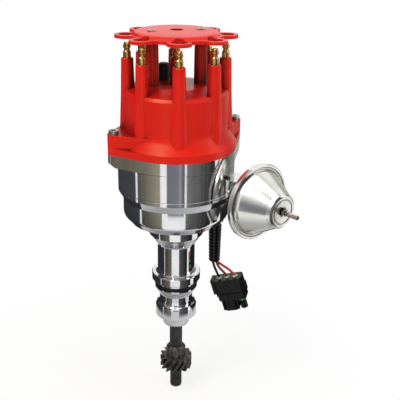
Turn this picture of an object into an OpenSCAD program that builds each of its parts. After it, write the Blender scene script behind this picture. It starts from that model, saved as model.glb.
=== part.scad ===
// Ignition distributor for a V8 engine: billet housing, eight-terminal cap, wire retainer,
// centrifugal and vacuum advance, magnetic pickup, helical drive gear and a three-wire lead.
// Origin: shaft axis at the underside of the hold-down flange. +Z runs up to the cap,
// +X to the side that carries the vacuum canister, -Y to the front.

/* [Housing] */
// Radius of the upper housing
body_r = 53.2; // [52:0.1:56]
// Height of the housing's top face above the hold-down seat
body_top = 133.4; // [131:0.2:138]
// Height of the upper housing's lower edge
body_edge = 94; // [93:0.2:94.4]
// Step from the upper housing's radius in to the lower housing's
lower_step = 4.3; // [3:0.1:6]
// Height of the housing's bottom face
body_bottom = 63.8; // [60:0.2:66]
// Height of the cone between the lower drum and the neck
cone_len = 26.6; // [20:0.2:30]
// Thickness of the housing wall
body_wall = 4.6; // [4:0.1:5]
// Radius of the neck below the housing
neck_r = 17.9; // [16.5:0.1:20]
// Radius of the hold-down flange
flange_r = 23.35; // [22.5:0.05:27]
// Thickness of the hold-down flange
flange_t = 7.6; // [5:0.2:10]

/* [Block fit] */
// Radius of the register that carries the O-ring
register_r = 20.45; // [19.5:0.05:21]
// Length of the register below the seat
register_len = 8.4; // [8:0.2:10]
// Radius of the waist between register and pilot
waist_r = 16; // [14.5:0.1:18]
// Radius of the lower pilot collar
pilot_r = 19.84; // [18.5:0.02:21]
// Depth of the pilot collar's upper edge below the seat
pilot_top = 28.6; // [26:0.2:32]
// Depth of the pilot collar's lower edge below the seat
pilot_bottom = 39.9; // [37:0.1:44]
// Radius of the hub below the pilot
hub_r = 12.9; // [12:0.1:15]
// Depth of the hub's lower end below the seat
hub_bottom = 51.1; // [48:0.1:56]
// Thickness of the O-ring's round section
oring_d = 4; // [3:0.1:4.2]

/* [Cap ears] */
// Reach of the cap screws beyond the upper housing
ear_reach = 6.4; // [6:0.1:9]
// Radius of the ears round the cap screws
ear_r = 5.5; // [5.2:0.1:7]
// Thickness of the housing's ears
ear_t = 11; // [8:0.2:14]
// Height of the cap's ears
cap_ear_h = 18.1; // [12:0.1:20]
// Radius of the cap screws
cap_screw_r = 2.4; // [1.6:0.05:2.8]

/* [Cap] */
// Number of spark plug towers
tower_count = 8; // [4:1:8]
// Inset of the towers' ring from the upper housing's radius
tower_inset = 10.8; // [10:0.1:12]
// Direction of the front tower, in degrees from +X
tower_phase = -87.2; // [-100:0.1:-80]
// Radius of a tower at its top
tower_top_r = 5.3; // [4.8:0.1:5.6]
// Height of a tower's top above the housing's top face
tower_rise = 79.2; // [72:0.2:84]
// Growth of a tower's radius per millimetre down to the deck
tower_draft = 0.031; // [0.01:0.001:0.036]
// Radius of a tower at its foot on the cap's flange
tower_foot_r = 8.6; // [7:0.1:9]
// Height of the cap's deck above the housing's top face
deck_rise = 56; // [53:0.2:60]
// Reach of the wall between the towers beyond their ring
panel_over = 3.6; // [2.6:0.1:4.4]
// Thickness of the cap's wall
cap_wall = 3.5; // [3:0.1:4]
// Overhang of the cap's foot flange beyond the housing
cap_overhang = 0.3; // [0.1:0.1:2]
// Height of the straight rim of the cap's foot flange
cap_rim_h = 6.5; // [4:0.1:8]

/* [Wire retainer] */
// Inset of the retainer's raised disc from the towers' ring
disc_inset = 5.4; // [3:0.2:8]
// Height of the retainer's underside above the tower tops
retainer_gap = 17; // [15:0.2:22]
// Thickness of the retainer's rim
rim_t = 2.8; // [2:0.1:4]
// Outer radius of a wire loop
loop_r = 10.2; // [9:0.1:11]
// Radius of the hole in a wire loop
loop_hole_r = 6.7; // [5:0.1:7.2]
// Radius of the hole for the coil lead
coil_hole_r = 5.8; // [4:0.1:7]
// Distance of the retainer posts from the shaft axis
post_pitch_r = 21.8; // [19:0.1:24]
// Direction of the retainer posts, in degrees from +X
post_angle = 16; // [8:1:26]
// Radius of a retainer post
post_r = 5.5; // [4.5:0.1:6]

/* [Shaft and gear] */
// Radius of the main shaft
shaft_r = 6.35; // [6.1:0.01:6.4]
// Radius of the shaft below the gear shoulder
tail_r = 5.93; // [5.5:0.01:6]
// Length of the shaft below the gear
tail_len = 24.2; // [18:0.2:30]
// Depth of the gear hub's top below the seat
gear_top = 77.5; // [72:0.1:84]
// Depth of the gear's lower face below the seat
gear_bottom = 102.4; // [100:0.1:108]
// Radius over the gear teeth
gear_r = 15.9; // [15:0.1:17]
// Radius of the gear hub
gear_hub_r = 9.6; // [9:0.1:10.5]
// Width of the toothed ring
gear_face = 13.3; // [11:0.1:16]
// Number of gear teeth
gear_teeth = 14; // [10:1:16]
// Helix angle of the gear teeth
gear_helix = 36; // [0:1:45]
// Width across the flats of the oil pump drive socket
drive_hex = 8; // [6:0.1:8.4]

/* [Advance and pickup] */
// Length of travel of the centrifugal advance, in degrees
advance_travel = 12; // [6:1:12]
// Distance of the weight pins from the shaft axis
weight_pin_r = 21; // [20.5:0.1:22]
// Thickness of an advance weight
weight_t = 5; // [3:0.1:5.2]
// Number of reluctor teeth
reluctor_teeth = 8; // [4:1:8]
// Radius over the reluctor teeth
reluctor_r = 17; // [15:0.1:17.5]
// Gap between the rotor blade's tip and the terminals in the cap
blade_gap = 0.8; // [0.4:0.1:3]
// Gap between the reluctor teeth and the pickup pole
pole_gap = 0.6; // [0.3:0.1:1]

/* [Vacuum canister] */
// Direction in which the canister points, in degrees from +X
vac_angle = -50.5; // [-60:0.5:-40]
// Inset of the canister's pull line from the pickup plate's edge
link_inset = 7.2; // [6:0.1:9]
// Height of the canister's centre line above the hold-down seat
vac_z = 91; // [90:0.2:93]
// Distance of the canister's rim from its seat on the housing
vac_reach = 22.9; // [21:0.1:28]
// Radius of the canister's rim
vac_rim_r = 35; // [33:0.1:36.5]
// Length of the canister's bell in front of the rim
bell_len = 31; // [26:0.2:34]
// Radius of the bell's front face
bell_face_r = 13.4; // [12:0.1:17]
// Radius of the hose nipple
nipple_r = 2.2; // [1.8:0.05:3]
// Length of the hose nipple beyond the bell
nipple_len = 17; // [12:0.2:24]

/* [Lead] */
// Inset of the lead's exit from the lower housing's radius
lead_inset = 12.4; // [12:0.1:15]
// Outer radius of the ribbed conduit at the housing
conduit_r = 6.3; // [5:0.1:6.6]
// Outer radius of the ribbed conduit at its mouth
mouth_r = 5.3; // [5.1:0.1:6.6]
// Length of the ribbed conduit
conduit_len = 42; // [36:1:44]
// Tilt of the connector, in degrees
plug_tilt = 17; // [10:1:20]
// Turn of the connector about its own length, in degrees
plug_turn = 16; // [0:1:24]

/* [Hidden] */

$fn = 72;
fit = 0.05;
cut = 0.5;
ear_angle = tower_phase + 112.5;
lower_r = body_r - lower_step;
cavity_r = body_r - body_wall;
pot_r = lower_r - body_wall;
floor_t = 6.2;
floor_z = body_bottom + floor_t;
ear_pitch_r = body_r + ear_reach;
cap_flange_r = body_r + cap_overhang;
tower_pitch_r = body_r - tower_inset;
panel_r = tower_pitch_r + panel_over;
disc_r = tower_pitch_r - disc_inset;
tip_depth = gear_bottom + tail_len;
plate_clear = 5;
plate_r = cavity_r - plate_clear;
vac_offset = plate_r - link_inset;
pad_inset = 7.2;
pad_s = body_r - pad_inset;
vac_rim_s = pad_s + vac_reach;
lead_x = lower_r - lead_inset;
lead_y = -5;
lead_flange_r = conduit_r + 1.3;
cone_clear = 2.4;
cone_top_r = lead_x - lead_flange_r - cone_clear;

// Heights of the stack on the shaft
plate_rise = 5;
plate_z = body_edge + plate_rise;
plate_t = 1.6;
hub_rise = 5.2;
hub_step_z = plate_z - fit;
hub_top_z = plate_z + hub_rise;
pivot_r = 16;
bearing_r = 14.29;
bearing_w = 7.94;
stub_r = 4.75;
sleeve_r = 7.6;
pole_rise = 14;
pole_z = plate_z + pole_rise;
reluctor_w = 8;
advance_rise = 23;
advance_z = plate_z + advance_rise;
advance_t = 2;
weight_z = advance_z + advance_t + 1;
cam_top_z = weight_z + weight_t - 0.2;
arm_z = weight_z + weight_t + 0.8;
arm_t = 1.4;
arm_pitch_r = 12.5;
spring_z = arm_z + arm_t + 2.7;
rotor_post_h = 14;
rotor_z = advance_z + advance_t + rotor_post_h;
rotor_t = 3.4;
rotor_h = 12;
blade_z = rotor_z + rotor_h;
blade_t = 1.2;
blade_dome_h = 2.4;
button_z = blade_z + blade_t + blade_dome_h + 0.2;
rotor_pin_angle = 62;
rotor_pin_r = 23;
rotor_screw_len = 7;

// Heights of the cap
deck_z = body_top + deck_rise;
tower_z = body_top + tower_rise;
flare_rise = 18;
flare_z = body_top + flare_rise;
flare_fillet = 14;
shoulder_drop = 6;
shoulder_z = deck_z - shoulder_drop;
ceiling_z = deck_z - cap_wall - 2.5;
electrode_z = blade_z - 2.4;
terminal_r = 2.4;
blade_tip_r = tower_pitch_r - terminal_r - blade_gap;
retainer_z = tower_z + retainer_gap;
disc_rise = 6.6;
retainer_top = retainer_z + disc_rise;
loop_pitch_r = tower_pitch_r + 0.3;

gear_face_z = -gear_bottom + gear_face;

// Tangent contact of a straight side from a circle of radius big to one of radius small
function tangent_angle(big, small, d) = acos((big - small) / d);

module at_ears() {
    for (a = [ear_angle, ear_angle + 180]) rotate([0, 0, a]) translate([ear_pitch_r, 0, 0]) children();
}

module at_towers() {
    for (k = [0 : tower_count - 1])
        rotate([0, 0, tower_phase + k * 360 / tower_count]) translate([tower_pitch_r, 0, 0]) children();
}

module at_posts() {
    for (a = [post_angle, post_angle + 180]) rotate([0, 0, a]) translate([post_pitch_r, 0, 0]) children();
}

// Frame whose +X is the canister's pull line, at that line's foot on the shaft axis
module vac_frame() {
    rotate([0, 0, vac_angle]) children();
}

module tube(r_out, r_in, h, z = 0) {
    translate([0, 0, z]) difference() {
        cylinder(r = r_out, h = h);
        translate([0, 0, -cut]) cylinder(r = r_in, h = h + 2 * cut);
    }
}

// Round plate with two ears whose sides run tangent to the plate
module eared_outline(big, small) {
    b = tangent_angle(big, small, ear_pitch_r);
    circle(r = big);
    for (a = [ear_angle, ear_angle + 180]) rotate(a) {
        translate([ear_pitch_r, 0]) circle(r = small);
        polygon([[0, 0], [big * cos(b), -big * sin(b)],
            [ear_pitch_r + small * cos(b), -small * sin(b)],
            [ear_pitch_r + small * cos(b), small * sin(b)], [big * cos(b), big * sin(b)]]);
    }
}

// Rings swept along a path: points of ring i lie square to the path's direction there
function unit(v) = v / norm(v);
function path_dir(p, i) = unit(p[min(i + 1, len(p) - 1)] - p[max(i - 1, 0)]);
function ring_at(p, i, r, sides, up) =
    let (t = path_dir(p, i), s = unit(cross(t, up)), u = cross(s, t))
    [for (k = [0 : sides - 1]) p[i] + r * (cos(360 * k / sides) * s + sin(360 * k / sides) * u)];

module sweep(path, r, sides, up) {
    n = len(path);
    points = [for (i = [0 : n - 1]) each ring_at(path, i, r, sides, up)];
    faces = concat(
        [[for (k = [0 : sides - 1]) k]],
        [for (i = [0 : n - 2], k = [0 : sides - 1])
            [i * sides + k, (i + 1) * sides + k, (i + 1) * sides + (k + 1) % sides,
                i * sides + (k + 1) % sides]],
        [[for (k = [sides - 1 : -1 : 0]) (n - 1) * sides + k]]);
    polyhedron(points, faces);
}

// Points on a smooth curve through the route's own points
function curve_point(p, i, t) =
    let (a = p[max(i - 1, 0)], b = p[i], c = p[i + 1], d = p[min(i + 2, len(p) - 1)])
    0.5 * (2 * b + (c - a) * t + (2 * a - 5 * b + 4 * c - d) * t * t
        + (3 * b - a - 3 * c + d) * t * t * t);
function curve(p, steps) = concat(
    [for (i = [0 : len(p) - 2], s = [0 : steps - 1]) curve_point(p, i, s / steps)],
    [p[len(p) - 1]]);

module cap_screw(r, head_r, head_h, len) {
    difference() {
        cylinder(r = head_r, h = head_h);
        translate([0, 0, head_h * 0.45]) cylinder(r = head_r * 0.55, h = head_h, $fn = 6);
    }
    translate([0, 0, -len]) cylinder(r = r, h = len + head_h * 0.2);
}

// Turned outside of the housing, from the cap joint down to the bushing hub
function arc(cx, cz, r, a0, a1, n = 6) = [for (i = [0 : n]) let (a = a0 + (a1 - a0) * i / n)
    [cx + r * cos(a), cz + r * sin(a)]];
seam_z = body_top - ear_t;
scribe_z = body_edge + 3.7;
neck_fillet = 2.4;
cone_drop = 15.2;
oring_z = -register_len / 2 - 0.8;
oring_proud = 0.24;
oring_r = register_r + oring_proud - oring_d / 2;
function housing_profile() = concat(
    [[0, body_top], [body_r, body_top], [body_r, seam_z], [body_r - 0.4, seam_z - 0.25],
        [body_r, seam_z - 0.5], [body_r, scribe_z + 0.4], [body_r - 0.5, scribe_z],
        [body_r, scribe_z - 0.4], [body_r, body_edge], [lower_r, body_edge - 7.6]],
    arc(lower_r - 6, body_bottom + 8.9, 6, 0, -45),
    [[lower_r - 5.4, body_bottom], [cone_top_r, body_bottom],
        [cone_top_r - 0.9, body_bottom - cone_drop], [neck_r + 0.7, body_bottom - cone_len + 1.4],
        [neck_r, body_bottom - cone_len]],
    arc(neck_r + neck_fillet, flange_t + neck_fillet, neck_fillet, 180, 270),
    [[flange_r - 0.6, flange_t], [flange_r, flange_t - 0.6], [flange_r, 0.5], [flange_r - 0.5, 0],
        [register_r, 0], [register_r, oring_z + oring_d / 2 + 0.1],
        [oring_r - oring_d / 2, oring_z + oring_d / 2 + 0.1],
        [oring_r - oring_d / 2, oring_z - oring_d / 2 - 0.1],
        [register_r, oring_z - oring_d / 2 - 0.1], [register_r, -register_len],
        [register_r - 1.9, -register_len - 3.8], [waist_r + 0.6, -register_len - 6],
        [waist_r, -register_len - 8]],
    arc(waist_r + 6, -pilot_top + 7.6, 6, 180, 236),
    [[pilot_r - 0.6, -pilot_top + 1], [pilot_r, -pilot_top], [pilot_r, -pilot_bottom + 0.7],
        [pilot_r - 0.7, -pilot_bottom], [hub_r, -pilot_bottom]],
    arc(hub_r - 2.4, -hub_bottom + 2.4, 2.4, 0, -90),
    [[0, -hub_bottom]]);

// Space inside the housing, round the bearing hub
hub_wall_r = 18.2;
function cavity_profile() = [[hub_wall_r, floor_z], [pot_r, floor_z], [pot_r, body_edge - 6],
    [cavity_r, body_edge + 1.4], [cavity_r, body_top + cut], [0, body_top + cut], [0, hub_top_z],
    [pivot_r, hub_top_z], [pivot_r, hub_step_z], [hub_wall_r, hub_step_z]];

// Pad for the canister bracket, square to the pull line
slot_s = sqrt(max(0, cavity_r * cavity_r - pow(vac_offset + 4.5, 2))) - 3;
pad_w = 28;
pad_h = 17;
pad_z = body_edge - 6;
arm_w = 7;
arm_gauge = 1.6;
link_z = plate_z - 0.7 - arm_gauge;
bracket_t = 2;
bracket_screw_off = 10.8;
bracket_screw_z = pad_z + 7;
bracket_screw_r = 1.9;
bracket_screw_len = 7;
slot_h = arm_gauge + 2.2;

module link_slot(s0, s1) {
    translate([s0, vac_offset - arm_w / 2 - 1, link_z - 1.1])
        cube([s1 - s0, arm_w + 2, slot_h]);
}

module canister_pad() {
    vac_frame() translate([0, vac_offset, pad_z]) linear_extrude(pad_h)
        polygon([[pad_s - 24, -pad_w / 2], [pad_s, -pad_w / 2], [pad_s, pad_w / 2],
            [pad_s - 4, pad_w / 2], [pad_s - 24, pad_w / 2 - 4.5]]);
}

module at_bracket_screws(s) {
    for (side = [-1, 1])
        translate([s, vac_offset + side * bracket_screw_off, bracket_screw_z]) rotate([0, 90, 0])
            children();
}

bush_r = 9.5;
bush_len = 32;
pocket_z = hub_top_z - 1.5 - bearing_w;
neck_bore_r = shaft_r + 1.85;
ring_t = 1;
plate_ring_z = plate_z + plate_t + 0.1;
grommet_r = 5;
module_screw_r = 1.6;
module_h = 15;
module_screw_pitch_r = 31;

module at_module_screws() {
    for (a = [120, 180, 240]) rotate([0, 0, a]) translate([module_screw_pitch_r, 0, 0]) children();
}

module housing() {
    ear_chamfer = 3.4;
    reach = ear_pitch_r + ear_r;
    color("silver") difference() {
        union() {
            rotate_extrude() polygon(housing_profile());
            intersection() {
                translate([0, 0, seam_z]) linear_extrude(ear_t) eared_outline(body_r, ear_r);
                rotate_extrude() polygon([[0, seam_z], [reach - ear_chamfer, seam_z],
                    [reach, seam_z + ear_chamfer], [reach, body_top], [0, body_top]]);
            }
            canister_pad();
        }
        rotate_extrude() polygon(cavity_profile());
        translate([0, 0, pocket_z]) cylinder(r = bearing_r + 0.01, h = hub_top_z);
        translate([0, 0, hub_top_z - 1.45]) cylinder(r = bearing_r + 0.66, h = ring_t + 0.1);
        translate([0, 0, plate_ring_z - 0.05]) tube(pivot_r + 1, pivot_r - 0.8, ring_t + 0.1);
        translate([0, 0, -hub_bottom - cut]) cylinder(r = neck_bore_r, h = pocket_z + hub_bottom + 2 * cut);
        translate([0, 0, -hub_bottom - cut]) cylinder(r = bush_r + 0.01, h = bush_len + cut);
        at_ears() translate([0, 0, seam_z - cut]) cylinder(r = cap_screw_r + fit, h = ear_t + 2 * cut);
        vac_frame() link_slot(slot_s, pad_s + cut);
        vac_frame() translate([pad_s, vac_offset - pad_w / 2 - cut, pad_z - cut])
            cube([10, pad_w + 2 * cut, pad_h + 2 * cut]);
        vac_frame() at_bracket_screws(pad_s - bracket_screw_len - 1)
            cylinder(r = bracket_screw_r + fit, h = bracket_screw_len + 1 + cut);
        translate([lead_x, lead_y, body_bottom - cut]) cylinder(r = grommet_r + fit, h = 12);
        at_module_screws() translate([0, 0, floor_z - 4]) cylinder(r = module_screw_r + fit, h = 4 + cut);
    }
}

// Chamber in which the rotor blade runs
chamber_rise = 14;
chamber_z = blade_z + chamber_rise;
chamber_r = panel_r - cap_wall;
spigot_h = 2.2;
vent_x = -11.5;
vent_y = 17;
vent_r = 4.7;
vent_stem_r = 3;
post_len = 8.6;
button_r = 2.9;
button_h = 7;
button_spring_h = 5;
coil_rod_z = button_z + button_h + button_spring_h;

// Tower with a slim upper part and a foot that spreads down to the flange
module tower() {
    crown = 0.8;
    foot_z = body_top + cap_rim_h / 2;
    knee_z = shoulder_z - 2.5;
    knee_r = tower_top_r + (tower_z - knee_z) * tower_draft;
    translate([0, 0, foot_z]) cylinder(r1 = tower_foot_r, r2 = knee_r, h = knee_z - foot_z);
    translate([0, 0, knee_z]) cylinder(r1 = knee_r, r2 = tower_top_r, h = tower_z - crown - knee_z);
    translate([0, 0, tower_z - crown]) cylinder(r1 = tower_top_r, r2 = tower_top_r - 0.6, h = crown);
}

// Wall of the cap between the towers: flange, hollow flare, panel and bevelled deck
deck_flat_r = panel_r - 20;
flare_lean = atan((cap_flange_r - panel_r) / (flare_rise - cap_rim_h));
function cap_profile() = concat(
    [[0, body_top], [cap_flange_r, body_top], [cap_flange_r, body_top + cap_rim_h]],
    arc(panel_r + flare_fillet, flare_z + flare_fillet * tan(flare_lean / 2), flare_fillet,
        180 + flare_lean, 180),
    [[panel_r, shoulder_z], [panel_r - 2, shoulder_z + 2.6], [deck_flat_r, deck_z], [0, deck_z]]);

module cap_shell() {
    difference() {
        union() {
            rotate_extrude() polygon(cap_profile());
            translate([0, 0, body_top]) linear_extrude(cap_rim_h) eared_outline(cap_flange_r, ear_r);
            translate([0, 0, body_top]) linear_extrude(cap_ear_h) eared_outline(panel_r + 0.5, ear_r);
            at_towers() tower();
            translate([0, 0, body_top - spigot_h]) cylinder(r = cavity_r - 0.2, h = spigot_h + cut);
        }
        rotate_extrude() polygon([[0, body_top - spigot_h - cut],
            [chamber_r, body_top - spigot_h - cut], [chamber_r, chamber_z],
            [chamber_r - 4, chamber_z + 4], [chamber_r - 4, ceiling_z], [0, ceiling_z]]);
    }
}

module cap() {
    color("firebrick") difference() {
        union() {
            cap_shell();
            translate([0, 0, button_z + 1.6]) cylinder(r = 8.5, h = deck_z - button_z - 2);
            translate([0, 0, deck_z - cut]) cylinder(r1 = tower_top_r + 0.7, r2 = tower_top_r,
                h = tower_z - deck_z + cut);
            at_posts() translate([0, 0, deck_z - cut])
                cylinder(r1 = post_r + 0.4, r2 = post_r, h = retainer_z - deck_z + cut);
        }
        at_towers() translate([0, 0, electrode_z]) cylinder(r = terminal_r + 0.01, h = tower_z);
        translate([0, 0, button_z]) cylinder(r = button_r + fit, h = coil_rod_z - button_z);
        translate([0, 0, coil_rod_z - cut]) cylinder(r = terminal_r + 0.01, h = tower_z);
        at_posts() translate([0, 0, retainer_z - post_len - 0.4])
            cylinder(r = 2 + fit, h = post_len + cut + 0.4);
        at_ears() translate([0, 0, body_top - cut]) cylinder(r = cap_screw_r + fit, h = cap_ear_h + 2 * cut);
        translate([vent_x, vent_y, ceiling_z - cut]) cylinder(r = vent_stem_r + fit, h = deck_z);
    }
}

module cap_screws() {
    color("gainsboro") at_ears() translate([0, 0, body_top + cap_ear_h])
        cap_screw(cap_screw_r, 4.3, 3.2, cap_ear_h + ear_t - 1.5);
}

// Male snap terminal on a tower: collar, neck, bulb and tip over a rod of the given length
collar_r = 3.4;
collar_h = 4.4;
snap_neck_r = 2.5;
snap_neck_z = 6.2;
bulb_r = 3.3;
bulb_z = 8.8;
bulb_h = 1.4;
snap_tip_r = 2.8;
snap_h = 13.2;
module snap_terminal(len) {
    rotate_extrude() polygon([[0, snap_h], [snap_tip_r - 0.9, snap_h], [snap_tip_r - 0.1, snap_h - 0.8],
        [snap_tip_r, snap_h - 2.2], [bulb_r, bulb_z + bulb_h], [bulb_r, bulb_z],
        [snap_neck_r, bulb_z - 1], [snap_neck_r, snap_neck_z], [collar_r - 0.2, snap_neck_z - 1],
        [collar_r, collar_h], [collar_r, 0], [terminal_r, 0], [terminal_r, -len], [0, -len]]);
}

module spark_terminals() {
    color("darkgoldenrod") at_towers() translate([0, 0, tower_z]) snap_terminal(tower_z - electrode_z - fit);
}

module coil_terminal() {
    color("darkgoldenrod") translate([0, 0, tower_z]) snap_terminal(tower_z - coil_rod_z);
}

module coil_button() {
    color("dimgray") translate([0, 0, button_z]) {
        cylinder(r1 = 1.8, r2 = button_r, h = 1.2);
        translate([0, 0, 1.2]) cylinder(r = button_r, h = button_h - 1.2);
    }
}

// Round-wire coil spring that stands on z = 0
module coil_spring(r, wire_r, len, turns, per_turn = 10) {
    n = turns * per_turn;
    path = [for (i = [0 : n]) [r * cos(360 * i / per_turn), r * sin(360 * i / per_turn),
        wire_r + (len - 2 * wire_r) * i / n]];
    sweep(path, wire_r, 6, [0, 0, 1]);
}

module button_spring() {
    color("goldenrod") translate([0, 0, button_z + button_h]) coil_spring(2, 0.3, button_spring_h, 4);
}

module vent_plug() {
    color("black") translate([vent_x, vent_y, deck_z]) {
        cylinder(r = vent_r, h = 14);
        translate([0, 0, 14]) cylinder(r1 = vent_r, r2 = vent_r - 1, h = 1.2);
        translate([0, 0, ceiling_z - deck_z]) cylinder(r = vent_stem_r, h = deck_z - ceiling_z);
    }
}

// Outline of the retainer: a ring of loops joined by round webs
web_pitch_r = loop_pitch_r + 2.8;
module retainer_outline() {
    half = 180 / tower_count;
    lift = web_pitch_r - loop_pitch_r * cos(half);
    web_r = norm([loop_pitch_r * sin(half), lift]) - loop_r;
    circle(r = loop_pitch_r * cos(half));
    for (k = [0 : tower_count - 1]) rotate(tower_phase + 2 * half * k) {
        translate([loop_pitch_r, 0]) circle(r = loop_r);
        difference() {
            polygon([[0, 0], [loop_pitch_r, 0], web_pitch_r * [cos(half), sin(half)],
                loop_pitch_r * [cos(2 * half), sin(2 * half)]]);
            rotate(half) translate([web_pitch_r, 0]) circle(r = web_r);
        }
    }
}

screw_seat = 5;
module wire_retainer() {
    rise = retainer_top - retainer_z;
    color("crimson") translate([0, 0, retainer_z]) difference() {
        union() {
            linear_extrude(rim_t) retainer_outline();
            rotate_extrude() polygon([[0, rise - 3], [0, rise], [disc_r - 12, rise - 0.4],
                [disc_r - 3, rise - 0.9], [disc_r - 1, rise - 1.5], [disc_r, rise - 2.3],
                [disc_r + 1, rim_t + 0.5], [disc_r + 2.4, rim_t], [disc_r + 2.4, rim_t - cut],
                [disc_r - 4, rim_t - cut], [disc_r - 5, rise - 3.6]]);
            at_posts() cylinder(r = post_r + 1, h = rise - 2);
        }
        difference() {
            translate([0, 0, -cut]) cylinder(r = disc_r - 5, h = rise - 3.6 + cut);
            at_posts() cylinder(r = post_r + 1, h = rise);
        }
        at_towers() translate([loop_pitch_r - tower_pitch_r, 0, -cut])
            cylinder(r = loop_hole_r, h = rise + 2 * cut);
        translate([0, 0, -cut]) cylinder(r = coil_hole_r, h = rise + 2 * cut);
        at_posts() translate([0, 0, -cut]) cylinder(r = 2.1, h = rise + 2 * cut);
        at_posts() translate([0, 0, screw_seat]) cylinder(r = 3.8, h = rise);
    }
}

module retainer_screws() {
    color("gainsboro") at_posts() translate([0, 0, retainer_z + screw_seat])
        cap_screw(2, 3.7, 2, screw_seat + post_len);
}

module block_o_ring() {
    color("black") translate([0, 0, oring_z]) rotate_extrude() translate([oring_r, 0])
        circle(r = oring_d / 2 - 0.02);
}

module lower_bushing() {
    color("peru") translate([0, 0, -hub_bottom]) tube(bush_r, shaft_r + 0.03, bush_len);
}

module upper_bearing() {
    color("lightgray") translate([0, 0, pocket_z]) {
        tube(bearing_r, bearing_r - 1.9, bearing_w);
        tube(shaft_r + 2.3, shaft_r + 0.03, bearing_w);
        translate([0, 0, 0.6]) tube(bearing_r - 1.89, shaft_r + 2.29, bearing_w - 1.2);
    }
}

module snap_ring(r_in, r_out, t) {
    difference() {
        tube(r_out, r_in, t);
        translate([0, -1.6, -cut]) cube([r_out + 1, 3.2, t + 2 * cut]);
    }
}

module bearing_ring() {
    color("dimgray") translate([0, 0, hub_top_z - 1.4]) snap_ring(bearing_r - 2.4, bearing_r + 0.6, ring_t);
}

gear_pin_r = 1.6;
gear_pin_z = -gear_top - 9.2;
shoulder_top = hub_top_z + 0.4;
clip_groove_r = stub_r - 0.55;
clip_z = arm_z + arm_t + 0.1;
clip_t = 0.8;

module main_shaft() {
    color("#26272b") difference() {
        rotate_extrude() polygon([[0, -tip_depth], [tail_r - 1.2, -tip_depth],
            [tail_r - 0.3, -tip_depth + 0.7], [tail_r, -tip_depth + 2], [tail_r, -gear_top],
            [shaft_r, -gear_top], [shaft_r, shoulder_top], [stub_r, shoulder_top],
            [stub_r, clip_z - fit], [clip_groove_r, clip_z - fit],
            [clip_groove_r, clip_z + clip_t + fit], [stub_r, clip_z + clip_t + fit],
            [stub_r, clip_z + 1.8], [stub_r - 0.6, clip_z + 2.4], [0, clip_z + 2.4]]);
        translate([0, 0, -tip_depth - cut]) cylinder(r = drive_hex / sqrt(3), h = 14 + cut, $fn = 6);
        translate([0, 0, gear_pin_z]) rotate([90, 0, 0])
            cylinder(r = gear_pin_r + 0.01, h = 3 * shaft_r, center = true);
    }
}

// Outline of the gear: root, flank and tip points of each tooth
module gear_outline() {
    pitch = 360 / gear_teeth;
    root_r = gear_r - 3.6;
    polygon([for (i = [0 : gear_teeth - 1], q = [[-0.33, root_r], [-0.24, root_r + 1.9],
        [-0.13, gear_r], [0.13, gear_r], [0.24, root_r + 1.9], [0.33, root_r]])
        q[1] * [cos(pitch * (i + q[0])), sin(pitch * (i + q[0]))]]);
}

module drive_gear() {
    twist = gear_face * tan(gear_helix) / gear_r * 180 / PI;
    color("#3a3a38") difference() {
        union() {
            rotate_extrude() polygon([[0, gear_face_z - 1], [gear_hub_r, gear_face_z - 1],
                [gear_hub_r, -gear_top - 2.6], [gear_hub_r - 2.2, -gear_top], [0, -gear_top]]);
            translate([0, 0, -gear_bottom]) linear_extrude(gear_face, twist = -twist, slices = 8)
                gear_outline();
        }
        translate([0, 0, -gear_bottom - cut]) cylinder(r = tail_r + 0.01, h = gear_bottom);
        translate([0, 0, gear_pin_z]) rotate([90, 0, 0])
            cylinder(r = gear_pin_r + 0.01, h = 3 * gear_hub_r, center = true);
    }
}

module gear_pin() {
    color("silver") translate([0, 0, gear_pin_z]) rotate([90, 0, 0]) difference() {
        cylinder(r = gear_pin_r, h = 2 * gear_hub_r, center = true);
        cylinder(r = gear_pin_r * 0.5, h = 2 * gear_hub_r + 1, center = true);
    }
}

// The rotating group at rest: the rotor blade points to the front tower
module spin_frame() {
    rotate([0, 0, tower_phase]) children();
}

arm_angle = 30;
arm_post_r = 1.3;
pin_r = 2.4;
pin_top_z = spring_z + 1.6;

module at_arm_ends() {
    for (a = [arm_angle, arm_angle + 180]) rotate([0, 0, a]) translate([arm_pitch_r, 0, 0]) children();
}

module cam_plate() {
    color("darkgray") spin_frame() difference() {
        union() {
            translate([0, 0, weight_z]) cylinder(r = 7.4, h = arm_z - weight_z + arm_t);
            for (a = [30, 210]) rotate([0, 0, a]) translate([4.6, 0, weight_z])
                cylinder(r = 4.6, h = cam_top_z - weight_z);
            rotate([0, 0, arm_angle]) translate([-arm_pitch_r, -3, arm_z])
                cube([2 * arm_pitch_r, 6, arm_t]);
            at_arm_ends() translate([0, 0, arm_z]) cylinder(r = 3, h = arm_t);
            at_arm_ends() translate([0, 0, arm_z]) cylinder(r = arm_post_r, h = pin_top_z - arm_z);
        }
        translate([0, 0, weight_z - cut]) cylinder(r = stub_r + 0.01, h = arm_z);
    }
}

module cam_clip() {
    color("dimgray") spin_frame() translate([0, 0, clip_z]) snap_ring(clip_groove_r + 0.02, 6.6, clip_t);
}

module advance_sleeve() {
    color("lightslategray") translate([0, 0, shoulder_top + 0.1]) difference() {
        union() {
            cylinder(r = sleeve_r, h = advance_z - shoulder_top - 0.1);
            cylinder(r = sleeve_r - 1.2, h = advance_z + advance_t - shoulder_top - 0.1);
        }
        translate([0, 0, -cut]) cylinder(r = stub_r + fit, h = advance_z);
    }
}

module at_weight_pins() {
    for (a = [90, 270]) rotate([0, 0, a]) translate([weight_pin_r, 0, 0]) children();
}

module at_rotor_posts() {
    for (a = [rotor_pin_angle, rotor_pin_angle + 180])
        rotate([0, 0, a]) translate([rotor_pin_r, 0, 0]) children();
}

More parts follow.
